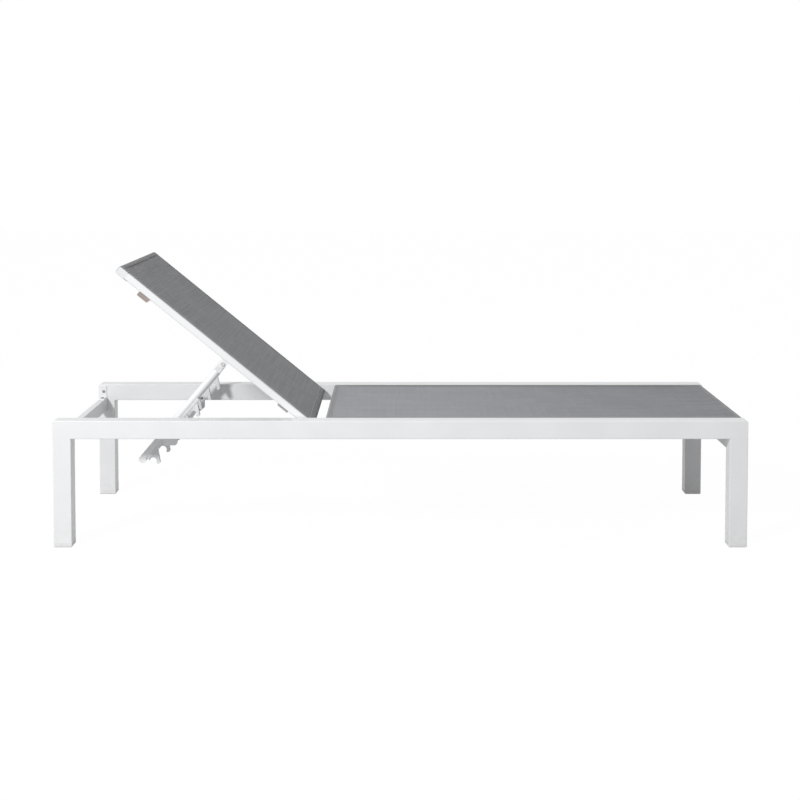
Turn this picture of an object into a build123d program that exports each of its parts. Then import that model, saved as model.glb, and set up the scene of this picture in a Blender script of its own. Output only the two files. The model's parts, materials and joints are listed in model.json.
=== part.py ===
from build123d import *
import os
from math import cos, radians, sin

# Sun lounger: welded aluminium side frames, a stretched mesh seat, and a mesh back that reclines.
# X runs from the head end to the foot end, Y across, Z up from the floor. Millimetres and degrees.

# Driving sizes of the whole lounger
length = 1900.0
width = 670.0
rail_top = 349.5
floor = 0.0

# Side rails and legs, square tube
post = 50.0
post_wall = 2.5
post_edge = 2.0
end_round = 5.5
end_plate = 3.0

# Foot caps
cap_height = 12.0
cap_edge = 2.0
cap_spigot = 25.0
cap_play = 0.2

# Groove that holds the edge cord of a sling
seat_groove = 7.0
seat_groove_inset = 7.0
mesh_drop = 2.6
slot_play = 0.4
back_groove = 5.4
back_groove_depth = 4.6
back_groove_inset = 9.0
groove_wall = 1.3
cord_play = 0.35
overrun = 5.0

# Mesh slings
sling = 1.5
sling_gap = 0.4
sling_side_gap = 0.4
pocket = 40.0

# Cross bars between the legs
head_bar_high = 40.0
foot_bar_high = 42.0
end_bar_rise = 8.0
end_bar_wall = 2.0
end_bar_edge = 2.0
end_bar_setback = 6.0
head_bar_thick = 20.0
foot_bar_thick = 44.0

# Bars that the seat sling turns round, and the stretchers under it
sling_bar_wide = 32.0
sling_bar_high = 30.0
sling_bar_edge = 5.0
sling_bar_wall = 2.0
back_room = 742.0
sling_end_gap = 0.6
stretcher_round = 25.0
stretcher_wall = 2.0
stretcher_drop = 34.0
stretcher_shares = (0.28, 0.62)

# Corner brackets and their screws
bracket_long = 38.0
bracket_wide = 18.0
bracket_plate = 2.0
screw_head = 9.0
screw_head_high = 2.5
screw_shank = 5.0
screw_grip = 9.0
screw_hole_play = 0.2

# Back frame, flat tube
back_length = 694.0
back_gap = 5.0
back_tube_wide = 30.0
back_tube_high = 20.0
back_tube_edge = 4.0
back_tube_wall = 1.5
back_angle = 39.3
hinge_gap = 57.3
hinge_drop = 33.6
hinge_from_hem = 14.4
plug_flange = 2.5
plug_spigot = 14.0
plug_play = 0.15

# Braces across the back
upper_brace_wide = 36.0
upper_brace_from_top = 104.0
brace_wide = 35.0
brace_high = 12.0
brace_edge = 3.0
brace_wall = 1.5
brace_drop = 14.0
strap_thick = 4.5
strap_edge = 1.0
strap_from_hem = 98.0

# Hinge
ear_plate = 5.0
ear_round = 9.0
ear_wide = 34.0
pin_round = 8.0
pin_running_play = 0.05
pin_head = 12.4
pin_head_high = 5.0
washer_round = 20.0
washer_play = 0.3
bush_round = 14.0
bush_flange = 20.0
bush_flange_high = 1.4
bush_long = 18.0

# Prop that holds the back up
prop_from_hinge = 289.2
prop_angle = 49.9
arm_round = 21.0
arm_wall = 1.5
arm_length = 362.0
arm_inset = 50.0
knuckle_long = 27.0
knuckle_wide = 22.0
knuckle_edge = 3.0
pivot_round = 8.0
pivot_head = 13.0
pivot_head_high = 4.0
hanger_plate = 2.5
hanger_play = 0.5
hanger_wide = 30.0
hanger_round = 11.0

# Racks of hooks on the prop arms
notch_count = 5
notch_pitch = 43.4
notches_above_bar_count = 2
notch_above_tube = 4.2
notch_floor = 0.7
notch_play = 0.7
hook_thick = 8.0
hook_past_notch = 19.0
hook_lean = 50.5
hook_tip = 3.4
rack_wide = 15.0
rack_base = 4.6
rack_saddle = 7.0
rack_saddle_wide = 18.0
rack_play = 0.06
rack_above_tube = 0.5
rack_screw_round = 4.0
rack_screw_head = 7.0
rack_screw_head_high = 2.4

# Catch bar that the hooks drop on
catch_round = 19.0
catch_wall = 2.0
catch_plate = 5.0
catch_plate_wide = 40.0
catch_plate_below = 12.0
catch_plate_above = 32.0
catch_screw_inset = 9.0

# Places worked out from the sizes above
half_length = length / 2
half_width = width / 2
inner_half = half_width - post
seat_start = back_room - half_length
seat_end = half_length - sling_end_gap
hinge_x = seat_start - hinge_gap
rail_bottom = rail_top - post
sling_top = rail_top - mesh_drop
slot_width = sling + 2 * slot_play
bar_top = sling_top - sling - sling_gap
wrap = sling + sling_gap
back_half = inner_half - back_gap
back_inner = back_half - back_tube_wide
hinge_z = rail_top - hinge_drop
back_face = hinge_drop - mesh_drop
back_top = back_face - wrap
back_under = back_top - back_tube_high
hem_x = hinge_from_hem
side_tube_end = hem_x - wrap - back_tube_edge
back_end = back_length - hinge_from_hem
brace_top = back_face - brace_drop
brace_under = brace_top - brace_high
prop_z = brace_under - hanger_plate - hanger_play - knuckle_wide / 2
arm_y = back_half - arm_inset
rack_face = arm_round / 2 + rack_base
notch = catch_round / 2 + notch_play
notch_offset = rack_face + notch_floor + notch
hook_reach = notch_offset + hook_past_notch
last_notch = arm_length - arm_round - notch_above_tube
notch_downs = [last_notch - (notch_count - 1 - k) * notch_pitch for k in range(notch_count)]


def save(name, shape):
    """Writes one sub-part."""
    export_step(shape, f"parts/{name}.step")


def block(x0, x1, y0, y1, z0, z1):
    """A box between two corners."""
    return Pos((x0 + x1) / 2, (y0 + y1) / 2, (z0 + z1) / 2) * Box(x1 - x0, y1 - y0, z1 - z0)


def bar_y(profile, y0, y1):
    """A profile drawn in X and Z, run along Y from y0 to y1."""
    return extrude(Plane(origin=(0, y1, 0), x_dir=(1, 0, 0), z_dir=(0, -1, 0)) * profile, y1 - y0)


def tube_section(wide, high, edge, wall):
    """A rounded rectangular tube section about its own centre."""
    inner_edge = max(edge - wall, wall / 2)
    return RectangleRounded(wide, high, edge) - RectangleRounded(wide - 2 * wall, high - 2 * wall, inner_edge)


def round_y(radius, x, z, y0, y1):
    """A round bar along Y."""
    return bar_y(Pos(x, z) * Circle(radius), y0, y1)


def mirrored(shape):
    """The same piece on the other side of the lounger."""
    return mirror(shape, about=Plane.XZ)


def in_back(shape):
    """Moves a piece modelled flat, with the hinge at the origin, to the reclined back."""
    return Pos(hinge_x, 0, hinge_z) * Rot(0, back_angle, 0) * shape


def in_prop(shape):
    """Moves a piece modelled hanging straight down from the prop's pivot to its place at rest."""
    pivot = in_back_point(-prop_from_hinge, prop_z)
    return Pos(pivot[0], 0, pivot[1]) * Rot(0, 90 - prop_angle, 0) * shape


def in_back_point(x, z):
    """A point of the flat back, at rest."""
    turn = radians(back_angle)
    return hinge_x + x * cos(turn) + z * sin(turn), hinge_z - x * sin(turn) + z * cos(turn)


def in_prop_point(down, out):
    """A point of the prop, at a distance down its arm and out from its axis, at rest."""
    pivot = in_back_point(-prop_from_hinge, prop_z)
    turn = radians(prop_angle)
    return (
        pivot[0] - down * cos(turn) + out * sin(turn),
        pivot[1] - down * sin(turn) - out * cos(turn),
    )


catch_x, catch_z = in_prop_point(notch_downs[notches_above_bar_count], notch_offset)


def side_rail():
    """The rail on the +Y side, with a slot beside the seat and a groove behind it for the edge cord."""
    groove_y = inner_half + seat_groove_inset
    groove_z = rail_top - groove_wall - seat_groove / 2
    middle = Pos(half_width - post / 2, rail_top - post / 2)
    whole = middle * RectangleRounded(post, post, post_edge)
    groove = Pos(groove_y, groove_z) * Circle(seat_groove / 2 + groove_wall) & whole
    slot = Pos(groove_y, groove_z) * Circle(seat_groove / 2)
    slot += Pos(inner_half, sling_top - sling / 2) * Rectangle(2 * seat_groove_inset, slot_width)
    across = Plane(origin=(-half_length, 0, 0), x_dir=(0, 1, 0), z_dir=(1, 0, 0))
    beside = Plane(origin=(seat_start + pocket - overrun, 0, 0), x_dir=(0, 1, 0), z_dir=(1, 0, 0))
    groove_long = seat_end - seat_start - 2 * pocket + 2 * overrun
    rail = extrude(across * (middle * tube_section(post, post, post_edge, post_wall)), length)
    rail += extrude(beside * groove, groove_long)
    rail -= extrude(beside * slot, groove_long)
    plate = extrude(across * whole, end_plate)
    rail += plate + Pos(length - end_plate, 0, 0) * plate
    side = Pos(0, (rail_top + floor) / 2) * Rectangle(length, rail_top - floor)
    side = fillet(side.vertices().group_by(Axis.Y)[-1], end_round)
    return rail & bar_y(side, 0, width)


def leg():
    """The leg at the head end on the +Y side."""
    tube = extrude(tube_section(post, post, post_edge, post_wall), rail_bottom - cap_height)
    return Pos(post / 2 - half_length, half_width - post / 2, cap_height) * tube


def foot_cap():
    """The plug under that leg."""
    flange = extrude(RectangleRounded(post, post, post_edge), cap_height)
    flange = chamfer(flange.faces().sort_by(Axis.Z)[0].edges(), cap_edge)
    inside = post - 2 * post_wall - 2 * cap_play
    spigot = Pos(0, 0, cap_height) * extrude(RectangleRounded(inside, inside, post_edge), cap_spigot)
    spigot -= Pos(0, 0, cap_height) * extrude(
        RectangleRounded(inside - 2 * post_wall, inside - 2 * post_wall, post_edge), cap_spigot
    )
    return Pos(post / 2 - half_length, half_width - post / 2, 0) * (flange + spigot)


def end_bar(x0, thick, high):
    """A flat cross bar between two legs."""
    middle_z = rail_bottom + end_bar_rise - high / 2
    section = Pos(x0 + thick / 2, middle_z) * tube_section(thick, high, end_bar_edge, end_bar_wall)
    return bar_y(section, -inner_half, inner_half)


def sling_bar(x0):
    """A rounded bar that one end of the seat sling turns round."""
    section = tube_section(sling_bar_wide, sling_bar_high, sling_bar_edge, sling_bar_wall)
    middle = Pos(x0 + sling_bar_wide / 2, bar_top - sling_bar_high / 2)
    return bar_y(middle * section, -inner_half, inner_half)


def stretcher(x):
    """A round tube under the seat."""
    section = Circle(stretcher_round / 2) - Circle(stretcher_round / 2 - stretcher_wall)
    return bar_y(Pos(x, rail_top - stretcher_drop) * section, -inner_half, inner_half)


def sling_wrap(x0, x1, top, bar_high, edge):
    """The side view of a sling: flat on top, turned round a bar at each end and back under it."""
    outer_edge = edge + wrap
    body = Pos((x0 + x1) / 2, top - (bar_high + 2 * wrap) / 2)
    outside = body * RectangleRounded(x1 - x0, bar_high + 2 * wrap, outer_edge)
    inside = body * RectangleRounded(x1 - x0 - 2 * sling, bar_high + 2 * wrap - 2 * sling, outer_edge - sling)
    open_part = Pos((x0 + x1) / 2, top - sling - bar_high) * Rectangle(x1 - x0 - 2 * pocket, 2 * bar_high)
    return outside - inside - open_part


def seat_sling():
    """The seat's mesh, with a cord along each side in the rail's groove."""
    edge = inner_half - sling_side_gap
    profile = sling_wrap(seat_start, seat_end, sling_top, sling_bar_high, sling_bar_edge)
    cloth = bar_y(profile, -edge, edge)
    x0 = seat_start + pocket
    x1 = seat_end - pocket
    cord = seat_groove / 2 - cord_play
    groove_y = inner_half + seat_groove_inset
    lip_middle = Pos((edge - sling + groove_y) / 2, sling_top - sling / 2)
    lip = lip_middle * Rectangle(groove_y - edge + sling, sling)
    lip += Pos(groove_y, rail_top - groove_wall - seat_groove / 2) * Circle(cord)
    across = Plane(origin=(x0, 0, 0), x_dir=(0, 1, 0), z_dir=(1, 0, 0))
    side = extrude(across * lip, x1 - x0)
    return cloth + side + mirrored(side)


def corner_bracket(x0):
    """A small angle between the head cross bar's top and the rail on the +Y side."""
    z = rail_bottom + end_bar_rise
    middle = x0 + head_bar_thick / 2
    half = bracket_wide / 2
    upright = block(middle - half, middle + half, inner_half - bracket_plate, inner_half, z, z + bracket_long)
    level = block(middle - half, middle + half, inner_half - bracket_long, inner_half, z, z + bracket_plate)
    shape = upright + level
    for hole in corner_screw_places(x0):
        shape -= hole * Cylinder(screw_shank / 2 + screw_hole_play, 2 * screw_grip)
    return shape


def corner_screw_places(x0):
    """The two screws of a corner bracket: one down into the cross bar, one into the rail."""
    z = rail_bottom + end_bar_rise
    middle = x0 + head_bar_thick / 2
    far = (bracket_long + bracket_plate) / 2
    level = Pos(middle, inner_half - far, z + bracket_plate)
    upright = Pos(middle, inner_half - bracket_plate, z + far) * Rot(90, 0, 0)
    return level, upright


def screw(head=screw_head, head_high=screw_head_high, shank=screw_shank, grip=screw_grip):
    """A pan-head screw: the head stands on Z = 0 and the shank goes down."""
    top = Pos(0, 0, head_high / 2) * Cylinder(head / 2, head_high)
    top = chamfer(top.faces().sort_by(Axis.Z)[-1].edges(), head_high / 4)
    top -= Pos(0, 0, head_high) * extrude(RegularPolygon(head / 4, 6), -head_high / 2)
    return top + Pos(0, 0, -grip / 2) * Cylinder(shank / 2, grip)


def screw_drill(grip=screw_grip, shank=screw_shank):
    """The clear hole for a screw."""
    return Pos(0, 0, -grip / 2) * Cylinder(shank / 2 + screw_hole_play, grip + 2 * screw_hole_play)


def catch_plate_body():
    """The plate on the +Y rail that carries the catch bar."""
    y0 = inner_half - catch_plate
    z0 = catch_z - catch_plate_below
    z1 = catch_z + catch_plate_above
    side = Pos(catch_x, (z0 + z1) / 2) * RectangleRounded(
        catch_plate_wide, z1 - z0, catch_plate_below - catch_wall
    )
    plate = bar_y(side, y0, inner_half)
    for place in catch_screw_places():
        plate -= place * screw_drill()
    return plate


def catch_screw_places():
    """Two screws hold that plate to the rail's inner wall."""
    z = catch_z + catch_plate_above - catch_screw_inset
    reach = catch_plate_wide / 2 - catch_screw_inset
    return [Pos(catch_x + s * reach, inner_half - catch_plate, z) * Rot(90, 0, 0) for s in (-1, 1)]


def catch_bar():
    """The round bar that the hooks drop on."""
    section = Circle(catch_round / 2) - Circle(catch_round / 2 - catch_wall)
    end = inner_half - catch_plate
    return bar_y(Pos(catch_x, catch_z) * section, -end, end)


def hinge_bush():
    """A flanged bush in the +Y rail's inner wall, for the hinge pin's thread."""
    bore = pin_round / 2 + pin_running_play
    body = round_y(bush_round / 2, hinge_x, hinge_z, inner_half - bush_flange_high, inner_half + bush_long)
    body += round_y(bush_flange / 2, hinge_x, hinge_z, inner_half - bush_flange_high, inner_half)
    return body - round_y(bore, hinge_x, hinge_z, inner_half - bush_flange, inner_half + 2 * bush_long)


def hinge_pin():
    """The +Y hinge pin: a head inside the ear, a shank through ear, washer and bush."""
    head_y = back_half - ear_plate - pin_running_play
    end_y = inner_half + bush_long
    pin = round_y(pin_round / 2, hinge_x, hinge_z, head_y, end_y)
    head = round_y(pin_head / 2, hinge_x, hinge_z, head_y - pin_head_high, head_y)
    socket = Plane(origin=(hinge_x, head_y - pin_head_high, hinge_z), x_dir=(1, 0, 0), z_dir=(0, 1, 0))
    head -= extrude(socket * RegularPolygon(pin_head / 4, 6), pin_head_high / 2)
    return pin + head


def hinge_washer():
    """The spacer between the +Y ear and the bush."""
    y0 = back_half + washer_play
    y1 = inner_half - bush_flange_high - washer_play
    bore = pin_round / 2 + pin_running_play
    return round_y(washer_round / 2, hinge_x, hinge_z, y0, y1) - round_y(bore, hinge_x, hinge_z, y0, y1)


def back_side_tube():
    """The +Y side tube of the back, modelled flat, with the cord groove in its top."""
    middle_y = back_half - back_tube_wide / 2
    middle_z = back_top - back_tube_high / 2
    outline = Pos(middle_y, middle_z) * RectangleRounded(back_tube_wide, back_tube_high, back_tube_edge)
    section = Pos(middle_y, middle_z) * tube_section(
        back_tube_wide, back_tube_high, back_tube_edge, back_tube_wall
    )
    groove_y = back_half - back_groove_inset
    groove_z = back_top - back_groove_depth
    section += Pos(groove_y, groove_z) * Circle(back_groove / 2 + groove_wall)
    section += Pos(groove_y, (groove_z + back_top) / 2) * Rectangle(
        slot_width + 2 * groove_wall, back_top - groove_z
    )
    section &= outline
    section -= Pos(groove_y, groove_z) * Circle(back_groove / 2)
    section -= Pos(groove_y, back_top) * Rectangle(slot_width, 2 * back_groove_depth)
    x0 = wrap + back_tube_wide - back_end
    across = Plane(origin=(x0, 0, 0), x_dir=(0, 1, 0), z_dir=(1, 0, 0))
    return extrude(across * section, side_tube_end - plug_flange - x0)


def back_tube_y(x0, wide, top, high, edge, wall, end, closed=True):
    """A flat tube across the back, modelled flat, with its ends closed or left for plugs."""
    place = Pos(x0 + wide / 2, top - high / 2)
    tube = bar_y(place * tube_section(wide, high, edge, wall), -end, end)
    if closed:
        lid = place * RectangleRounded(wide, high, edge)
        tube += bar_y(lid, -end, wall - end) + bar_y(lid, end - wall, end)
    return tube


def lower_strap():
    """A flat strap under the two side tubes near the hinge, modelled flat."""
    section = Pos(hem_x - strap_from_hem, back_under - strap_thick / 2) * RectangleRounded(
        brace_wide, strap_thick, strap_edge
    )
    return bar_y(section, -back_half, back_half)


def tube_plug(wide, high, edge, wall):
    """A tube's end plug: a flange on Z = 0 upwards, a hollow spigot downwards."""
    flange = extrude(RectangleRounded(wide, high, edge), plug_flange)
    lose = 2 * wall + 2 * plug_play
    inner_edge = max(edge - wall, wall)
    spigot = extrude(RectangleRounded(wide - lose, high - lose, inner_edge), -plug_spigot)
    hollow = 2 * lose
    spigot -= extrude(RectangleRounded(wide - hollow, high - hollow, inner_edge / 2), -plug_spigot)
    return flange + spigot


def hinge_ear():
    """The plate under the +Y side tube that turns on the hinge pin, modelled flat."""
    outline = Circle(ear_round) + Pos(0, back_under / 2) * Rectangle(2 * ear_round, back_under)
    foot = Pos(-(ear_wide / 2 - ear_round), back_under - ear_plate / 2) * Rectangle(ear_wide, ear_plate)
    outline = outline + foot - Circle(pin_round / 2 + pin_running_play)
    return bar_y(outline, back_half - ear_plate, back_half)


def back_sling():
    """The back's mesh, with a cord along each side in the side tube's groove, modelled flat."""
    edge = back_half - back_groove_inset + sling / 2 + slot_width
    profile = sling_wrap(-back_end, hem_x, back_face, back_tube_high, back_tube_edge)
    cloth = bar_y(profile, -edge, edge)
    x0 = wrap + back_tube_wide - back_end + overrun
    x1 = hem_x - pocket
    groove_y = back_half - back_groove_inset
    groove_z = back_top - back_groove_depth
    lip = Pos(groove_y, groove_z) * Circle(back_groove / 2 - cord_play)
    lip += Pos(groove_y, (groove_z + back_face) / 2) * Rectangle(sling, back_face - groove_z)
    across = Plane(origin=(x0, 0, 0), x_dir=(0, 1, 0), z_dir=(1, 0, 0))
    side = extrude(across * lip, x1 - x0)
    return cloth + side + mirrored(side)


def hanger():
    """The fork under the middle brace that the +Y prop arm turns in, modelled flat."""
    inside = knuckle_wide / 2 + hanger_play
    top = brace_under
    outline = Pos(-prop_from_hinge, prop_z) * Circle(hanger_round)
    outline += Pos(-prop_from_hinge, (top + prop_z) / 2) * Rectangle(2 * hanger_round, top - prop_z)
    outline -= Pos(-prop_from_hinge, prop_z) * Circle(pivot_round / 2 + pin_running_play)
    web = Pos(-prop_from_hinge, top - hanger_plate / 2) * Rectangle(hanger_wide, hanger_plate)
    cheek = bar_y(outline, arm_y + inside, arm_y + inside + hanger_plate)
    fork = cheek + Pos(0, -2 * inside - hanger_plate, 0) * cheek
    return fork + bar_y(web, arm_y - inside - hanger_plate, arm_y + inside + hanger_plate)


def pivot_bolt():
    """The bolt through the +Y fork, modelled flat."""
    out = knuckle_wide / 2 + hanger_play + hanger_plate
    bolt = round_y(pivot_round / 2, -prop_from_hinge, prop_z, arm_y - out, arm_y + out)
    head = Pos(-prop_from_hinge, prop_z) * RegularPolygon(pivot_head / 2, 6)
    for y0 in (arm_y - out - pivot_head_high, arm_y + out):
        bolt += bar_y(head, y0, y0 + pivot_head_high)
    return bolt


def knuckle():
    """The moulded top end of the +Y prop arm, modelled hanging straight down."""
    half = knuckle_wide / 2
    side = Circle(half) + Pos(0, -knuckle_long / 2) * Rectangle(knuckle_wide, knuckle_long)
    body = bar_y(side, arm_y - half, arm_y + half)
    body = fillet(body.edges().filter_by(Axis.Z), knuckle_edge)
    body += Pos(0, arm_y, -knuckle_long - plug_spigot / 2) * Cylinder(
        arm_round / 2 - arm_wall - plug_play, plug_spigot
    )
    return body - round_y(pivot_round / 2 + pin_running_play, 0, 0, 0, width)


def prop_arm():
    """The +Y arm's tube, from the knuckle to the bottom tube."""
    long = arm_length - arm_round / 2 - knuckle_long
    tube = Cylinder(arm_round / 2, long) - Cylinder(arm_round / 2 - arm_wall, long)
    tube = Pos(0, arm_y, -knuckle_long - long / 2) * tube
    tube -= round_y(arm_round / 2, 0, arm_round / 2 - arm_length, 0, width)
    for place in rack_screw_places():
        tube -= place * screw_drill(arm_round / 2, rack_screw_round)
    return tube


def bottom_tube():
    """The tube that joins the two prop arms, with its ends closed."""
    end = arm_y + arm_round / 2
    z = arm_round / 2 - arm_length
    tube = round_y(arm_round / 2, 0, z, -end, end)
    return tube - round_y(arm_round / 2 - arm_wall, 0, z, -end + arm_wall, end - arm_wall)


def hook(down):
    """The side view of one hook, with X out from the arm and Y up it; the catch bar sits at the notch."""
    lean = radians(hook_lean)
    along = (sin(lean), -cos(lean))
    off = notch + hook_thick
    root = rack_face - rack_base / 2
    # The hook's upper side is a line that leans down and out, one thickness clear of the notch.
    foot_x = notch_offset + off * cos(lean)
    foot_y = -down + off * sin(lean)

    def upper(x):
        return foot_y + (x - foot_x) * along[1] / along[0]

    tip_y = upper(hook_reach)
    shape = Polygon(
        (root, -down - notch / 2),
        (notch_offset, -down - notch / 2),
        (notch_offset, -down),
        (hook_reach - hook_thick * cos(lean), tip_y - hook_thick * sin(lean)),
        (hook_reach, tip_y),
        (root, upper(root)),
        align=None,
    )
    tips = [v for v in shape.vertices() if v.X > hook_reach - hook_thick]
    shape = fillet(tips, hook_tip)
    return shape - Pos(notch_offset, -down) * Circle(notch)


def rack():
    """The +Y arm's row of hooks, on a strip that hugs the arm, modelled hanging straight down."""
    top = notch_pitch - notch_downs[0]
    low = arm_round - arm_length + rack_above_tube
    side = Pos(rack_face - rack_base / 2, (top + low) / 2) * Rectangle(rack_base, top - low)
    for down in notch_downs:
        side += hook(down)
    body = bar_y(side, arm_y - rack_wide / 2, arm_y + rack_wide / 2)
    saddle = block(
        arm_round / 2 - rack_saddle,
        arm_round / 2 + rack_base / 2,
        arm_y - rack_saddle_wide / 2,
        arm_y + rack_saddle_wide / 2,
        low,
        top,
    )
    body += saddle
    body -= Pos(0, arm_y, (top + low) / 2) * Cylinder(arm_round / 2 + rack_play, top - low + overrun)
    for place in rack_screw_places():
        body -= place * screw_drill(arm_round, rack_screw_round)
        body -= place * Cylinder(rack_screw_head / 2 + screw_hole_play, 2 * rack_screw_head_high)
    return body


def rack_screw_places():
    """A screw above the first hook and one in the floor of the last notch, heads outwards."""
    heights = (notch_pitch - notch_downs[0] - rack_screw_head, -last_notch)
    return [Pos(rack_face, arm_y, z) * Rot(0, 90, 0) for z in heights]


def build():
    """Makes and writes every sub-part."""
    os.makedirs("parts", exist_ok=True)
    sides = (("left", lambda shape: shape), ("right", mirrored))
    head_x = end_bar_setback - half_length
    foot_x = half_length - end_bar_setback - foot_bar_thick

    rail = side_rail()
    rail -= round_y(bush_round / 2, hinge_x, hinge_z, inner_half, inner_half + post_wall)
    level, upright = corner_screw_places(head_x)
    head_bar = end_bar(head_x, head_bar_thick, head_bar_high)
    for _, hand in sides:
        head_bar -= hand(level * screw_drill())
    frame_screws = [level * screw(), upright * screw()]
    rail -= upright * screw_drill()
    for place in catch_screw_places():
        frame_screws.append(place * screw())
        rail -= place * screw_drill()

    for name, hand in sides:
        save(f"side_rail_{name}", hand(rail))
        save(f"leg_head_{name}", hand(leg()))
        save(f"leg_foot_{name}", hand(mirror(leg(), about=Plane.YZ)))
        save(f"foot_cap_head_{name}", hand(foot_cap()))
        save(f"foot_cap_foot_{name}", hand(mirror(foot_cap(), about=Plane.YZ)))
        save(f"corner_bracket_{name}", hand(corner_bracket(head_x)))
        save(f"catch_plate_{name}", hand(catch_plate_body()))
        save(f"hinge_bush_{name}", hand(hinge_bush()))
        save(f"hinge_pin_{name}", hand(hinge_pin()))
        save(f"hinge_washer_{name}", hand(hinge_washer()))
        save(f"frame_screws_{name}", Compound([hand(s) for s in frame_screws]))

        save(f"back_side_tube_{name}", in_back(hand(back_side_tube())))
        save(f"hinge_ear_{name}", in_back(hand(hinge_ear())))
        save(f"prop_hanger_{name}", in_back(hand(hanger())))
        save(f"prop_bolt_{name}", in_back(hand(pivot_bolt())))
        save(f"prop_knuckle_{name}", in_prop(hand(knuckle())))
        save(f"prop_arm_{name}", in_prop(hand(prop_arm())))
        save(f"hook_rack_{name}", in_prop(hand(rack())))

    save("head_crossbar", head_bar)
    save("foot_crossbar", end_bar(foot_x, foot_bar_thick, foot_bar_high))
    save("seat_head_bar", sling_bar(seat_start + wrap))
    save("seat_foot_bar", sling_bar(seat_end - wrap - sling_bar_wide))
    seat_long = seat_end - seat_start
    for number, share in enumerate(stretcher_shares, 1):
        save(f"seat_stretcher_{number}", stretcher(seat_start + share * seat_long))
    save("catch_bar", catch_bar())
    save("seat_sling", seat_sling())

    flat = (back_top, back_tube_high, back_tube_edge, back_tube_wall)
    top_x = wrap - back_end
    save("back_top_tube", in_back(back_tube_y(top_x, back_tube_wide, *flat, back_half - plug_flange, False)))
    low_x = hem_x - wrap - back_tube_wide
    save("back_bottom_tube", in_back(back_tube_y(low_x, back_tube_wide, *flat, back_inner)))
    small = (brace_high, brace_edge, brace_wall)
    upper_x = upper_brace_from_top - back_end - upper_brace_wide / 2
    save(
        "back_upper_brace",
        in_back(back_tube_y(upper_x, upper_brace_wide, back_under, *small, back_half - plug_flange, False)),
    )
    middle_x = -prop_from_hinge - brace_wide / 2
    save("back_middle_brace", in_back(back_tube_y(middle_x, brace_wide, brace_top, *small, back_inner)))
    save("back_lower_strap", in_back(lower_strap()))
    save("back_sling", in_back(back_sling()))

    outward = Pos(0, back_half - plug_flange, 0) * Rot(-90, 0, 0)
    brace_plug = tube_plug(upper_brace_wide, brace_high, brace_edge, brace_wall)
    brace_plug = Pos(upper_x + upper_brace_wide / 2, 0, back_under - brace_high / 2) * outward * brace_plug
    top_plug = tube_plug(back_tube_wide, back_tube_high, back_tube_edge, back_tube_wall)
    top_plug = Pos(top_x + back_tube_wide / 2, 0, back_top - back_tube_high / 2) * outward * top_plug
    end_face = Plane(origin=(side_tube_end - plug_flange, 0, 0), x_dir=(0, 1, 0), z_dir=(1, 0, 0))
    end_lid = RectangleRounded(back_tube_wide, back_tube_high, back_tube_edge)
    end_lid = Pos(back_half - back_tube_wide / 2, back_top - back_tube_high / 2) * end_lid
    side_plug = extrude(end_face * end_lid, plug_flange)
    save("brace_plugs", in_back(Compound([hand(brace_plug) for _, hand in sides])))
    save("top_tube_plugs", in_back(Compound([hand(top_plug) for _, hand in sides])))
    save("side_tube_plugs", in_back(Compound([hand(side_plug) for _, hand in sides])))

    save("prop_bottom_tube", in_prop(bottom_tube()))
    screws = []
    for _, hand in sides:
        for place in rack_screw_places():
            one = screw(rack_screw_head, rack_screw_head_high, rack_screw_round, arm_round / 2)
            screws.append(hand(place * Pos(0, 0, -rack_screw_head_high) * one))
    save("rack_screws", in_prop(Compound(screws)))


build()
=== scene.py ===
import json
from math import cos, exp, pi, radians, sin

import bmesh
import bpy
from mathutils import Matrix, Vector


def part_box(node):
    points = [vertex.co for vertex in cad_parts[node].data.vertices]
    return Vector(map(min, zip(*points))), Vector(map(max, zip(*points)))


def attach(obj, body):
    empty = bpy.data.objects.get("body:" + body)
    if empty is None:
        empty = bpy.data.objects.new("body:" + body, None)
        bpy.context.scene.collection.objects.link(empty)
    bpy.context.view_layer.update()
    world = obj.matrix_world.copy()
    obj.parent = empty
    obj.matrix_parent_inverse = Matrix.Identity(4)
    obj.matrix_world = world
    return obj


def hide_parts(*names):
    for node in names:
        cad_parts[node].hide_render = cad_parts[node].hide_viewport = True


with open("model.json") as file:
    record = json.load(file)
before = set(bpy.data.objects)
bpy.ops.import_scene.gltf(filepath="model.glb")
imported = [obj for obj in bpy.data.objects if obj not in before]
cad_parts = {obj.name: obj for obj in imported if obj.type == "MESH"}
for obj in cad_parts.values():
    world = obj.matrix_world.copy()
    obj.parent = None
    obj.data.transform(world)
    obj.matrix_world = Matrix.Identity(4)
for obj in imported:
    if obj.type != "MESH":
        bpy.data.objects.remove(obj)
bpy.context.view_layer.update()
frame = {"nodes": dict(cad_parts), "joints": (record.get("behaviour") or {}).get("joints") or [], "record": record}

MM = 0.001
UP = Vector((0, 0, 1))

# How far the back leans up from flat
BACK_LEAN = radians(39.3)

# Mesh cloth, and the steps that its grid is drawn with
CLOTH = 1.1 * MM
CLOTH_INSET = 0.75 * MM
THREAD_PITCH = 1.9 * MM
YARN_WIDE = 3.1 * MM
PICK_WIDE = 3.4 * MM
YARN_PATCHES = 1.6
PICK_PATCHES = 3.0
POCKET = 40 * MM
CLOTH_ROW = 12 * MM
CLOTH_COLUMNS = 72
POCKET_STEPS = 4
CORNER_STEPS = 6
RISE_STEPS = 3

# Each sling's bend round its bars, and the room between its side edge and its bar's end
SEAT_BEND = 6.9 * MM
BACK_BEND = 5.9 * MM
SEAT_ROOM = 0.6 * MM
BACK_ROOM = 3.6 * MM

# Sag of the cloth: it starts past the bars and is full some way in, and the power keeps the sides up
SEAT_SAG = 2.5 * MM
BACK_SAG = 2.5 * MM
SAG_START = 34 * MM
SAG_FULL = 95 * MM
SAG_POWER = 4

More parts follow.
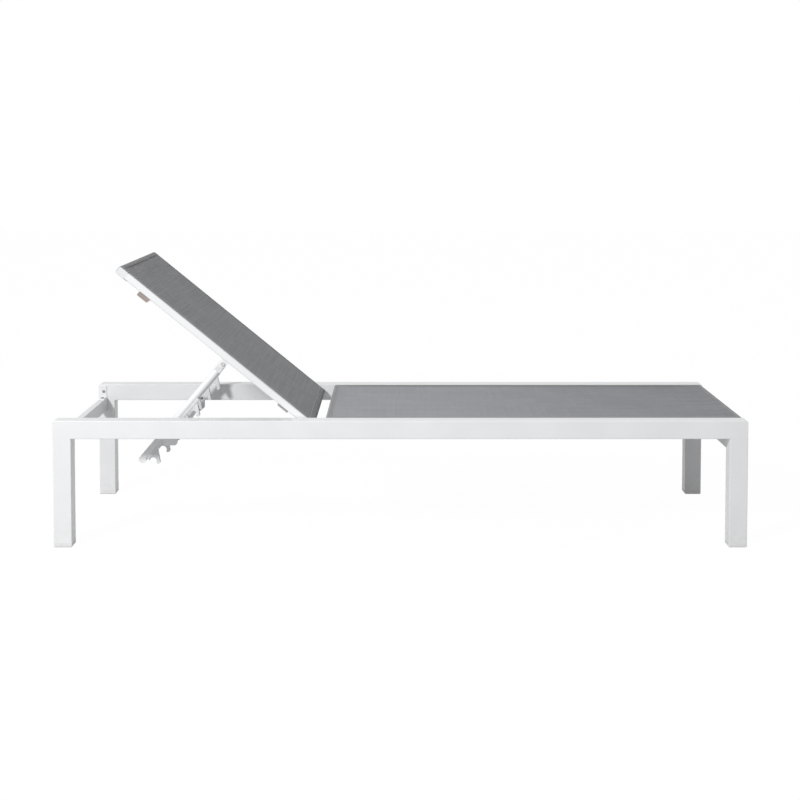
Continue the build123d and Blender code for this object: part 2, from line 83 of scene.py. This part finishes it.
# Gathers by the end hems: how high, wide and far in they are, and how they wander across the cloth
PUCKER = 1.8 * MM
PUCKER_WIDE = 74 * MM
PUCKER_REACH = 42 * MM
PUCKER_POWER = 6
WANDER = 1.4
WANDER_PACE = 0.37
WANDER_START = 0.8

# Each sling's hems: the width along its sides, at its end towards the head, and at its other end
HEMS = {"seat": (20 * MM, 10 * MM, 10 * MM), "back": (9 * MM, 10 * MM, 19 * MM)}
HEM_THICK = 0.7 * MM
HEM_ROUND = 0.3 * MM
HEM_ROUND_STEPS = 2
HEM_MAP_SHIFT = 0.6 * MM
HEM_STEPS = 110
SIDE_HEM_STEPS = 3
END_HEM_STEPS = 5

# Sewing
STITCH_LONG = 4.2 * MM
STITCH_WIDE = 1.1 * MM
STITCH_GAP = 2.4 * MM
STITCH_INSET = 2.4 * MM
STITCH_FLATNESS = 2.6
TACK_LONG = 7.0 * MM
TACK_WIDE = 2.0 * MM
TACK_GAP = 5.0 * MM
# Share of the width that the dark row below the back's top hem spans: painted shade for the hem's crease
CREASE_SHADE_SHARE = 0.8

# Welds: the flush fill over each leg, and the scales round the ends of the round bars
FILL_SHORTER = 4.4 * MM
FILL_WIDE = 1.9 * MM
FILL_HIGH = 2.2 * MM
FILL_IN = 1.0 * MM
FILL_UP = 1.0 * MM
WELD_RADIUS = 1.3 * MM
WELD_SPREAD = 1.5
WELD_IN = 0.4 * MM
STRETCHER_SCALES = 36
CATCH_BAR_SCALES = 30

# Specks and dust on the powder coat
SPECK_SHARE = 0.25
DUST_HIGH = 0.09
DUST_SHARE = 0.16
DUST_COLOUR = (0.55, 0.5, 0.42, 1.0)

# Wear on the mesh, and the painted shade that darkens it towards the foot end in place of the lamp's falloff
RUB_SHARE = 0.16
FALLOFF_SHADE_COLOUR = (0.02, 0.02, 0.02, 1.0)

# Camera and light
LENS = 66.0
SENSOR = 36.0
CAMERA_PLACE = (-0.001, -4.3027, 1.0948)
CAMERA_PITCH = radians(3.0)
FRAME_SHIFT = -0.2196
KEY_PLACE = Vector((-3.14, -4.77, 3.64))
KEY_AIM = Vector((-0.3, 0.0, 0.3))
KEY_WIDE = 0.9
KEY_WATTS = 264.0
AMBIENT = 0.485
FLOOR_SIZE = 30.0
FLOOR_LEVEL = 0.5
PAGE_STRENGTH = 1.04
PAGE_SHARE = 0.94


# Shader nodes

class Value:
    """One output of a shader node, which takes part in plain arithmetic."""

    def __init__(self, shader, socket):
        self.shader = shader
        self.socket = socket

    def math(self, operation, *values):
        return self.shader.node("ShaderNodeMath", {"operation": operation}, dict(enumerate(values)))

    def __add__(self, other):
        return self.math("ADD", self, other)

    def __sub__(self, other):
        return self.math("SUBTRACT", self, other)

    def __rsub__(self, other):
        return self.math("SUBTRACT", other, self)

    def __mul__(self, other):
        return self.math("MULTIPLY", self, other)

    def __truediv__(self, other):
        return self.math("DIVIDE", self, other)

    __radd__ = __add__
    __rmul__ = __mul__

    def wave(self):
        """A smooth wave from 0 to 1 that repeats with each whole number."""
        return self.math("COSINE", self * (2 * pi)) * 0.5 + 0.5

    def cosine(self):
        """The cosine of that many half turns."""
        return self.math("COSINE", self * pi)

    def between(self, low, high):
        """Rises from 0 at low to 1 at high."""
        settings = {"interpolation_type": "SMOOTHSTEP"}
        return self.shader.node("ShaderNodeMapRange", settings, {0: self, 1: low, 2: high})


class Shader:
    """The nodes of one material, or of the world."""

    def __init__(self, owner):
        owner.use_nodes = True
        self.owner = owner
        self.tree = owner.node_tree
        self.tree.nodes.clear()

    def node(self, kind, settings=None, sockets=None, output=0):
        """Adds a node: its settings first, then the values or links of its sockets."""
        node = self.tree.nodes.new(kind)
        for key, value in (settings or {}).items():
            setattr(node, key, value)
        for key, value in (sockets or {}).items():
            if isinstance(value, Value):
                self.tree.links.new(value.socket, node.inputs[key])
            else:
                node.inputs[key].default_value = value
        if not node.outputs:
            return None
        return Value(self, node.outputs[output])

    def place(self):
        """The point's place on the object, in metres."""
        return self.node("ShaderNodeTexCoord", output="Object")

    def map(self, name):
        """The piece's own flat map, in metres of cloth."""
        return self.node("ShaderNodeUVMap", {"uv_map": name})

    def parts(self, vector):
        """The X, Y and Z of a vector."""
        outputs = self.node("ShaderNodeSeparateXYZ", {}, {0: vector}).socket.node.outputs
        return [Value(self, outputs[k]) for k in range(3)]

    def seen(self):
        """1 where the camera or a gloss looks at the surface, and 0 for its light on other things."""
        outputs = self.node("ShaderNodeLightPath").socket.node.outputs
        return Value(self, outputs["Is Camera Ray"]) + Value(self, outputs["Is Glossy Ray"])

    def stretched(self, vector, scale):
        """The vector with each axis scaled."""
        return self.node("ShaderNodeMapping", {}, {"Vector": vector, "Scale": scale})

    def noise(self, vector, scale, detail=2.0, rough=0.5):
        """Soft noise, about 0.5."""
        sockets = {"Vector": vector, "Scale": scale, "Detail": detail, "Roughness": rough}
        return self.node("ShaderNodeTexNoise", {}, sockets)

    def mix(self, factor, first, second):
        """A colour between two colours."""
        sockets = {0: factor, 6: first, 7: second}
        return self.node("ShaderNodeMix", {"data_type": "RGBA"}, sockets, output=2)

    def bump(self, height, distance, strength):
        """A bumpy normal."""
        sockets = {"Height": height, "Distance": distance, "Strength": strength}
        return self.node("ShaderNodeBump", {}, sockets)

    def finish(self, **sockets):
        """Adds the surface and its output; socket names are written with underscores."""
        named = {key.replace("_", " "): value for key, value in sockets.items()}
        self.material_output(self.node("ShaderNodeBsdfPrincipled", {}, named))
        return self.owner

    def material_output(self, surface):
        """Adds the material's output."""
        self.node("ShaderNodeOutputMaterial", {}, {"Surface": surface})


def new_shader(name):
    """The empty nodes of a new material."""
    return Shader(bpy.data.materials.new(name))


def grey(level, warm=0.0):
    """A near-neutral colour, a little warmer or cooler."""
    return (level * (1 + warm), level, level * (1 - warm), 1.0)


def shade(colour, share):
    """The same colour, lighter or darker."""
    return tuple(share * c for c in colour[:3]) + (1.0,)


# Finishes

def powder_coat(name, level=0.87):
    """White baked powder: fine orange peel, faint unevenness, and a little dust low down."""
    shader = new_shader(name)
    darker = grey(level * 0.975, warm=-0.012)
    lighter = grey(level * 1.01, warm=-0.012)
    spot = grey(level * 0.72, warm=0.02)
    place = shader.place()
    cloud = shader.noise(place, scale=9.0, detail=3.0)
    peel = shader.noise(place, scale=620.0, rough=0.6)
    speck = shader.noise(place, scale=1900.0, detail=1.0).between(low=0.70, high=0.78)
    height = shader.parts(place)[2]
    dusty = shader.noise(place, scale=60.0, detail=4.0).between(low=0.38, high=0.72)
    dust = (1 - height.between(low=0.0, high=DUST_HIGH)) * dusty
    clean = shader.mix(cloud.between(low=0.3, high=0.7), darker, lighter)
    marked = shader.mix(speck * SPECK_SHARE, clean, spot)
    return shader.finish(
        Base_Color=shader.mix(dust * DUST_SHARE, marked, DUST_COLOUR),
        Roughness=cloud * 0.1 + dust * 0.2 + 0.33,
        Coat_Weight=0.12,
        Coat_Roughness=0.25,
        Normal=shader.bump(peel * 0.8 + speck * 0.5, distance=0.06 * MM, strength=0.7),
    )


def moulded(name, colour, grain=1500.0, rough=0.42):
    """Moulded nylon: a fine grain, and flow shade across it."""
    shader = new_shader(name)
    darker = shade(colour, 0.9)
    place = shader.place()
    flow = shader.noise(place, scale=28.0, detail=3.0)
    fine = shader.noise(place, scale=grain, rough=0.65)
    return shader.finish(
        Base_Color=shader.mix(flow.between(low=0.3, high=0.75), darker, colour),
        Roughness=flow * 0.12 + rough - 0.04,
        Normal=shader.bump(fine, distance=0.08 * MM, strength=0.6),
    )


def plated_steel(name, level):
    """Zinc-plated steel, dark or bright, with turning marks and a few dull spots."""
    shader = new_shader(name)
    clean = grey(level, warm=0.01)
    spot = grey(level * 0.66, warm=0.03)
    place = shader.place()
    turned = shader.stretched(place, (1.0, 14.0, 1.0))
    marks = shader.noise(turned, scale=240.0, detail=3.0)
    dull = shader.noise(place, scale=160.0, detail=3.0).between(low=0.5, high=0.7)
    return shader.finish(
        Base_Color=shader.mix(dull, clean, spot),
        Metallic=0.9,
        Roughness=dull * 0.25 + marks * 0.12 + 0.24,
        Normal=shader.bump(marks, distance=0.04 * MM, strength=0.6),
    )


def brushed(name, level):
    """Bare aluminium, brushed along its length, with a dull skin."""
    shader = new_shader(name)
    bright = grey(level * 1.06, warm=-0.01)
    skin = grey(level * 0.9)
    place = shader.place()
    along = shader.stretched(place, (1.0, 0.06, 1.0))
    lines = shader.noise(along, scale=900.0, detail=3.0, rough=0.6)
    dull = shader.noise(place, scale=70.0, detail=4.0).between(low=0.4, high=0.7)
    return shader.finish(
        Base_Color=shader.mix(dull, bright, skin),
        Metallic=0.55,
        Roughness=lines * 0.2 + dull * 0.2 + 0.3,
        Normal=shader.bump(lines, distance=0.04 * MM, strength=0.6),
    )


def mesh_cloth(name, colour, streak=0.6, falloff_shade_share=0.0):
    """Woven coated yarn: threads over and under, with painted shade in the troughs and painted highlight on the
    crests, and painted shade towards one end for the lamp's falloff.
    """
    shader = new_shader(name)
    flat = shader.map("cloth")
    across, length, _ = shader.parts(flat)
    warp_at = across / THREAD_PITCH
    weft_at = length / THREAD_PITCH
    over = warp_at.cosine() * weft_at.cosine() * 0.5 + 0.5
    relief = warp_at.wave() * over + weft_at.wave() * (1 - over)
    along_yarn = shader.stretched(flat, (1 / YARN_WIDE, YARN_PATCHES, 1.0))
    along_pick = shader.stretched(flat, (PICK_PATCHES, 1 / PICK_WIDE, 1.0))
    yarn = shader.noise(along_yarn, scale=1.0, detail=3.0, rough=0.7)
    pick = shader.noise(along_pick, scale=1.0, rough=0.6)
    cloud = shader.noise(flat, scale=6.0, detail=3.0)
    rub = shader.noise(flat, scale=26.0, detail=4.0, rough=0.6).between(low=0.52, high=0.72)
    # Painted shade: darker from the head end towards the foot end, standing in for the lamp's falloff along the
    # cloth.
    painted_falloff = length.between(low=0.1, high=1.25) * falloff_shade_share
    streaks = yarn * streak + pick * (0.9 - streak) + cloud * 0.22
    tone = streaks.between(low=0.38, high=0.74)
    # Painted shade and highlight: darker where the threads dip under, lighter on the crests, following the relief
    # that the bump also uses.
    trough_shade = shader.mix(tone, shade(colour, 0.62), shade(colour, 0.86))
    crest_highlight = shader.mix(tone, shade(colour, 0.96), shade(colour, 1.3))
    woven = shader.mix(relief.between(low=0.15, high=0.85), trough_shade, crest_highlight)
    rubbed = shader.mix(rub * RUB_SHARE, woven, shade(colour, 1.45))
    return shader.finish(
        Base_Color=shader.mix(painted_falloff, rubbed, FALLOFF_SHADE_COLOUR),
        Roughness=0.6 + yarn * 0.16,
        Sheen_Weight=0.05,
        Sheen_Roughness=0.5,
        Specular_IOR_Level=0.2,
        Normal=shader.bump(relief + yarn * 0.25, distance=0.5 * MM, strength=0.75),
    )


def thread(name, level):
    """Twisted sewing thread."""
    shader = new_shader(name)
    darker = grey(level * 0.7, warm=-0.03)
    lighter = grey(level * 1.25, warm=-0.03)
    twist = shader.noise(shader.place(), scale=2400.0, detail=1.0)
    return shader.finish(
        Base_Color=shader.mix(twist, darker, lighter),
        Roughness=0.55,
        Normal=shader.bump(twist, distance=0.2 * MM, strength=0.8),
    )


finishes = {
    "frame_paint": powder_coat("White powder coat"),
    "catch_bar": powder_coat("White powder coat, round bar", level=0.85),
    "foot_cap": moulded("White foot nylon", (0.86, 0.86, 0.855, 1.0), grain=900.0, rough=0.5),
    "end_plug": moulded("Taupe plug nylon", (0.36, 0.305, 0.275, 1.0)),
    "white_plug": moulded("White plug nylon", (0.84, 0.85, 0.86, 1.0)),
    "strap": brushed("Brushed aluminium strap", level=0.36),
    "knuckle": moulded("White knuckle nylon", (0.80, 0.81, 0.82, 1.0)),
    "hook_rack": moulded("White hook nylon", (0.82, 0.83, 0.84, 1.0), grain=1100.0, rough=0.4),
    "bush": moulded("Black bush nylon", (0.03, 0.03, 0.032, 1.0)),
    "steel": plated_steel("Dark zinc steel", level=0.34),
    # The seat's cloth darkens towards its foot end: painted shade for the lamp's falloff.
    "seat_mesh": mesh_cloth("Grey seat mesh", (0.392, 0.397, 0.424), streak=0.66, falloff_shade_share=0.3),
    # The back is the seat's cloth; its darker grey is painted shade for a face turned away from the lamp.
    "back_mesh": mesh_cloth("Grey back mesh, darkened as painted shade", (0.303, 0.305, 0.321), streak=0.36),
}
bright_steel = plated_steel("Bright zinc steel", level=0.66)
bright_nodes = ("prop_bolt_left", "prop_bolt_right", "rack_screws")
hem_finishes = {
    "seat": mesh_cloth("Hem mesh, seat", (0.315, 0.313, 0.308)),
    "back": mesh_cloth("Hem mesh, back", (0.285, 0.288, 0.294)),
}
thread_finishes = {
    "seat": thread("Light sewing thread", level=0.62),
    "back": thread("Grey sewing thread", level=0.68),
    # The dark thread also draws the painted crease shade below the back's top hem.
    "tack": thread("Dark tacking thread, also painted crease shade", level=0.06),
}

for entry in frame["record"]["subparts"]:
    node = entry["node"]
    finish = bright_steel if node in bright_nodes else finishes[entry["material_slot"]]
    for material_slot in frame["nodes"][node].material_slots:
        material_slot.material = finish


# Places

def joint_place(name):
    """Where a joint is, at rest."""
    return Vector(next(j for j in frame["joints"] if j["name"] == name)["pos_m"])


on_frame = Matrix.Identity(4)
on_back = Matrix.Translation(joint_place("back_raise")) @ Matrix.Rotation(BACK_LEAN, 4, "Y")


def own_box(node, place):
    """A node's lowest and highest corners along a place's own axes."""
    back_again = place.inverted()
    points = [back_again @ v.co for v in frame["nodes"][node].data.vertices]
    low = Vector([min(p[k] for p in points) for k in range(3)])
    high = Vector([max(p[k] for p in points) for k in range(3)])
    return low, high


def as_piece(name, mesh, material, place, body, smooth=True):
    """Turns a bmesh into a finished piece that rides on a body."""
    bmesh.ops.transform(mesh, matrix=place, verts=mesh.verts)
    data = bpy.data.meshes.new(name)
    mesh.to_mesh(data)
    mesh.free()
    data.polygons.foreach_set("use_smooth", [smooth] * len(data.polygons))
    data.materials.append(material)
    piece = bpy.data.objects.new(name, data)
    bpy.context.scene.collection.objects.link(piece)
    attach(piece, body)
    return piece


# Slings

def stations(low_x, high_x, top, bottom, bend):
    """Places along a sling's side view, from one hem under a bar, over the top, to the other hem."""
    flat = high_x - low_x - 2 * bend
    pocket = (POCKET - bend, 0, POCKET_STEPS)
    corner = (pi / 2 * bend, -pi / 2, CORNER_STEPS)
    rise = (top - bottom - 2 * bend, 0, RISE_STEPS)
    over = (flat, 0, max(2, round(flat / CLOTH_ROW)))
    x, z, heading, distance = low_x + POCKET, bottom, pi, 0.0
    found = [(x, z, distance)]
    for long, turn, count in (pocket, corner, rise, corner, over, corner, rise, corner, pocket):
        for _ in range(count):
            heading += turn / count / 2
            chord = long / count if not turn else 2 * bend * sin(abs(turn) / count / 2)
            x += chord * cos(heading)
            z += chord * sin(heading)
            heading += turn / count / 2
            distance += long / count
            found.append((x, z, distance))
    return found


def flat_map(mesh, places):
    """Gives each corner of the mesh its place on the flat cloth, in metres."""
    uv = mesh.loops.layers.uv.new("cloth")
    for face in mesh.faces:
        for loop in face.loops:
            loop[uv].uv = places(loop.vert)


def thicken(piece, name, thickness):
    """Gives a thin cloth its thickness, half to each side."""
    wall = piece.modifiers.new(name, "SOLIDIFY")
    wall.thickness = thickness
    wall.offset = 0


def stitch_row(mesh, start, end, long=STITCH_LONG, wide=STITCH_WIDE, gap=STITCH_GAP):
    """A row of stitches from start to end, lying on a cloth that faces up."""
    run = end - start
    count = int(run.length / (long + gap))
    step = run / count
    ahead = run.normalized()
    turn = Matrix((ahead, UP.cross(ahead), UP)).transposed().to_4x4()
    shape = Matrix.Diagonal((long / 2, wide / 2, wide / STITCH_FLATNESS, 1))
    for k in range(count):
        middle = Matrix.Translation(start + step * (k + 0.5))
        bmesh.ops.create_icosphere(mesh, subdivisions=1, radius=1.0, matrix=middle @ turn @ shape)


class Sling:
    """A stretched sling, wrapped round a bar at each end, with its long edges held in a groove."""

    def __init__(self, kind, place, body, bend, half, sag):
        self.kind = kind
        self.place = place
        self.body = body
        self.bend = bend
        self.half = half
        self.sag = sag
        self.low, self.high = own_box(f"{kind}_sling", place)
        self.start = self.low.x + bend
        self.end = self.high.x - bend
        self.face = self.high.z - CLOTH_INSET + CLOTH / 2
        self.side_hem, self.low_hem, self.high_hem = HEMS[kind]

    def pucker(self, x, y):
        """How far the gathers lift the cloth: most a little way in from its ends, then fading out."""
        reach = min(x - self.start, self.end - x) / PUCKER_REACH
        turn = 2 * pi * y / PUCKER_WIDE
        gather = 0.5 + 0.5 * sin(turn + WANDER * sin(WANDER_PACE * turn + WANDER_START))
        return PUCKER * gather * reach * exp(1 - reach) * (1 - (y / self.half) ** PUCKER_POWER)

    def lift(self, mesh):
        """Lifts what lies on the cloth with its gathers."""
        for vertex in mesh.verts:
            vertex.co.z += self.pucker(vertex.co.x, vertex.co.y)

    def drop(self, x, y):
        """How far the cloth sags."""
        hold = (min(x - self.low.x, self.high.x - x) - SAG_START) / (SAG_FULL - SAG_START)
        share = sin(pi / 2 * min(1.0, max(0.0, hold)))
        return self.sag * share * (1 - (y / self.half) ** SAG_POWER)

    def piece(self, name, mesh, material):
        """Turns a bmesh into one of the sling's pieces."""
        piece = as_piece(f"{self.kind}_{name}", mesh, material, self.place, self.body)
        return piece

    def cloth(self):
        """The cloth itself, and its flat size."""
        low, high = self.low, self.high
        inset = CLOTH_INSET
        path = stations(low.x + inset, high.x - inset, high.z - inset, low.z + inset, self.bend - inset)
        rows = len(path) - 1
        mesh = bmesh.new()
        bmesh.ops.create_grid(mesh, x_segments=rows, y_segments=CLOTH_COLUMNS, size=0.5)
        on_cloth = {}
        for vertex in mesh.verts:
            x, z, distance = path[round((vertex.co.x + 0.5) * rows)]
            y = 2 * vertex.co.y * self.half
            if z > high.z - 2 * inset:
                z += self.pucker(x, y) - self.drop(x, y)
            on_cloth[vertex] = (y, distance)
            vertex.co = (x, y, z)
        flat_map(mesh, lambda vertex: on_cloth[vertex])
        bmesh.ops.recalc_face_normals(mesh, faces=mesh.faces)
        top_face = max(mesh.faces, key=lambda f: f.calc_center_median().z)
        if top_face.normal.z < 0:
            bmesh.ops.reverse_faces(mesh, faces=mesh.faces)
        piece = self.piece("mesh", mesh, finishes[f"{self.kind}_mesh"])
        thicken(piece, "Cloth thickness", CLOTH)
        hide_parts(f"{self.kind}_sling")
        return piece, (2 * self.half, path[-1][2])

    def hems(self):
        """The folded hems on top of the cloth, along its sides and its ends."""
        mesh = bmesh.new()
        middle = (self.low.x + self.high.x) / 2
        side_y = self.half - self.side_hem / 2
        side = (self.end - self.start, self.side_hem, HEM_STEPS, SIDE_HEM_STEPS)
        end_long = 2 * (self.half - self.side_hem)
        strips = [(middle, -side_y, *side), (middle, side_y, *side)]
        low_end = (self.start + self.low_hem / 2, self.low_hem)
        high_end = (self.end - self.high_hem / 2, self.high_hem)
        for x, wide in (low_end, high_end):
            strips.append((x, 0, wide, end_long, END_HEM_STEPS, HEM_STEPS))
        for x, y, long, across, columns, rows in strips:
            made = bmesh.ops.create_grid(mesh, x_segments=columns, y_segments=rows, size=0.5)["verts"]
            bmesh.ops.scale(mesh, verts=made, vec=(long, across, 1))
            bmesh.ops.translate(mesh, verts=made, vec=(x, y, self.face + HEM_THICK / 2))
        self.lift(mesh)
        flat_map(mesh, lambda vertex: (vertex.co.y + HEM_MAP_SHIFT, vertex.co.x))
        piece = self.piece("hems", mesh, hem_finishes[self.kind])
        thicken(piece, "Hem thickness", HEM_THICK)
        edge = piece.modifiers.new("Soft hem edge", "BEVEL")
        edge.width = HEM_ROUND
        edge.segments = HEM_ROUND_STEPS
        return piece

    def stitches(self):
        """The sewing: a row just inside the inner edge of every hem but the back's top one."""
        mesh = bmesh.new()
        z = self.face + HEM_THICK
        reach = self.half - self.side_hem + STITCH_INSET
        rows = [self.end - self.high_hem + STITCH_INSET]
        if self.kind == "seat":
            rows.append(self.start + self.low_hem - STITCH_INSET)
        for x in rows:
            stitch_row(mesh, Vector((x, -reach, z)), Vector((x, reach, z)))
        for y in (-reach, reach):
            stitch_row(mesh, Vector((self.start, y, z)), Vector((self.end, y, z)))
        self.lift(mesh)
        return self.piece("stitches", mesh, thread_finishes[self.kind])

    def tacks_and_crease_shade(self):
        """Dark tacking stitches along the end towards the seat, and a dark stitch row below the top hem that is
        painted shade for the hem's crease.
        """
        mesh = bmesh.new()
        seat_end = (self.end - TACK_WIDE / 4, self.half)
        # The row below the top hem is dark thread standing in for the shade of the hem's crease: painted shade.
        crease_shade_row = (self.start + self.low_hem + TACK_WIDE / 2, CREASE_SHADE_SHARE * self.half)
        for x, reach in (seat_end, crease_shade_row):
            z = self.face + HEM_THICK / 2 + min(self.pucker(x, 0), HEM_THICK / 2)
            ends = (Vector((x, -reach, z)), Vector((x, reach, z)))
            stitch_row(mesh, *ends, TACK_LONG, TACK_WIDE, TACK_GAP)
        self.lift(mesh)
        return self.piece("tacks_and_crease_shade", mesh, thread_finishes["tack"])

    def dress(self):
        """The whole sling with its hems and sewing."""
        piece, flat = self.cloth()
        sewn = [self.hems(), self.stitches()]
        if self.kind == "back":
            sewn.append(self.tacks_and_crease_shade())


seat_half = own_box("seat_head_bar", on_frame)[1].y - SEAT_ROOM
seat = Sling("seat", on_frame, "frame", SEAT_BEND, seat_half, SEAT_SAG)
seat.dress()
back_half = own_box("back_top_tube", on_back)[1].y - BACK_ROOM
back = Sling("back", on_back, "back", BACK_BEND, back_half, BACK_SAG)
back.dress()


# Welds

def leg_joint_fill():
    """Fills the round edge where each leg meets the rail, ground flush after welding."""
    mesh = bmesh.new()
    for leg in ("leg_head_left", "leg_head_right", "leg_foot_left", "leg_foot_right"):
        low, high = (Vector(corner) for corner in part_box(leg))
        for y, out in ((low.y, -1), (high.y, 1)):
            box = bmesh.ops.create_cube(mesh, size=1.0)["verts"]
            bmesh.ops.scale(mesh, verts=box, vec=(high.x - low.x - FILL_SHORTER, FILL_WIDE, FILL_HIGH))
            place = ((low.x + high.x) / 2, y - out * FILL_IN, high.z + FILL_UP)
            bmesh.ops.translate(mesh, verts=box, vec=place)
    piece = as_piece("leg_joint_welds", mesh, finishes["frame_paint"], on_frame, "frame", smooth=False)


def ring(mesh, centre, half_x, half_z, count):
    """Weld scales round a tube's outline."""
    shape = Matrix.Diagonal((WELD_RADIUS * WELD_SPREAD, WELD_RADIUS, WELD_RADIUS * WELD_SPREAD, 1))
    for k in range(count):
        angle = 2 * pi * k / count
        at = Matrix.Translation(centre + Vector((half_x * cos(angle), 0, half_z * sin(angle))))
        bmesh.ops.create_icosphere(mesh, subdivisions=1, radius=1.0, matrix=at @ shape)


def tube_welds(name, node, count):
    """A ring of weld where each end of a round bar meets its neighbour."""
    low, high = own_box(node, on_frame)
    mesh = bmesh.new()
    for y, out in ((low.y, -1), (high.y, 1)):
        centre = Vector(((low.x + high.x) / 2, y - out * WELD_IN, (low.z + high.z) / 2))
        ring(mesh, centre, (high.x - low.x) / 2, (high.z - low.z) / 2, count)
    piece = as_piece(name, mesh, finishes["frame_paint"], on_frame, "frame")


leg_joint_fill()
tube_welds("stretcher_1_welds", "seat_stretcher_1", STRETCHER_SCALES)
tube_welds("stretcher_2_welds", "seat_stretcher_2", STRETCHER_SCALES)
tube_welds("catch_bar_welds", "catch_bar", CATCH_BAR_SCALES)


# Stage

def add_floor():
    """A white floor that the camera sees as the page's white, with a faint shadow."""
    mesh = bmesh.new()
    bmesh.ops.create_grid(mesh, x_segments=1, y_segments=1, size=FLOOR_SIZE / 2)
    data = bpy.data.meshes.new("floor")
    mesh.to_mesh(data)
    mesh.free()
    floor = bpy.data.objects.new("floor", data)
    bpy.context.scene.collection.objects.link(floor)
    shader = new_shader("White floor")
    matt = shader.node("ShaderNodeBsdfDiffuse", {}, {"Color": grey(FLOOR_LEVEL)})
    page = shader.node("ShaderNodeEmission", {}, {"Color": grey(1.0), "Strength": PAGE_STRENGTH})
    mixed = {0: shader.seen() * PAGE_SHARE, 1: matt, 2: page}
    shader.material_output(shader.node("ShaderNodeMixShader", {}, mixed))
    data.materials.append(shader.owner)


def add_world():
    """Plain soft light from all round, and white where the camera or a gloss sees it."""
    world = bpy.data.worlds.new("Studio")
    bpy.context.scene.world = world
    shader = Shader(world)
    seen = shader.seen()
    seen = seen.math("MINIMUM", seen, 1.0)
    strength = AMBIENT + seen * (1 - AMBIENT)
    sky = shader.node("ShaderNodeBackground", {}, {"Color": grey(1.0), "Strength": strength})
    shader.node("ShaderNodeOutputWorld", {}, {"Surface": sky})


def add_key():
    """One soft lamp, high at the front left."""
    data = bpy.data.lights.new("key", "AREA")
    data.shape = "SQUARE"
    data.size = KEY_WIDE
    data.energy = KEY_WATTS
    lamp = bpy.data.objects.new("key", data)
    lamp.location = KEY_PLACE
    lamp.rotation_euler = (KEY_AIM - KEY_PLACE).to_track_quat("-Z", "Y").to_euler()
    bpy.context.scene.collection.objects.link(lamp)


def add_camera():
    """The photograph's view: from the side, a little above, with the frame shifted down."""
    data = bpy.data.cameras.new("camera")
    data.lens = LENS
    data.sensor_width = SENSOR
    data.shift_y = FRAME_SHIFT
    camera = bpy.data.objects.new("camera", data)
    camera.location = CAMERA_PLACE
    camera.rotation_euler = (pi / 2 - CAMERA_PITCH, 0, 0)
    bpy.context.scene.collection.objects.link(camera)
    bpy.context.scene.camera = camera


add_floor()
add_world()
add_key()
add_camera()
bpy.context.scene.view_settings.view_transform = "Standard"
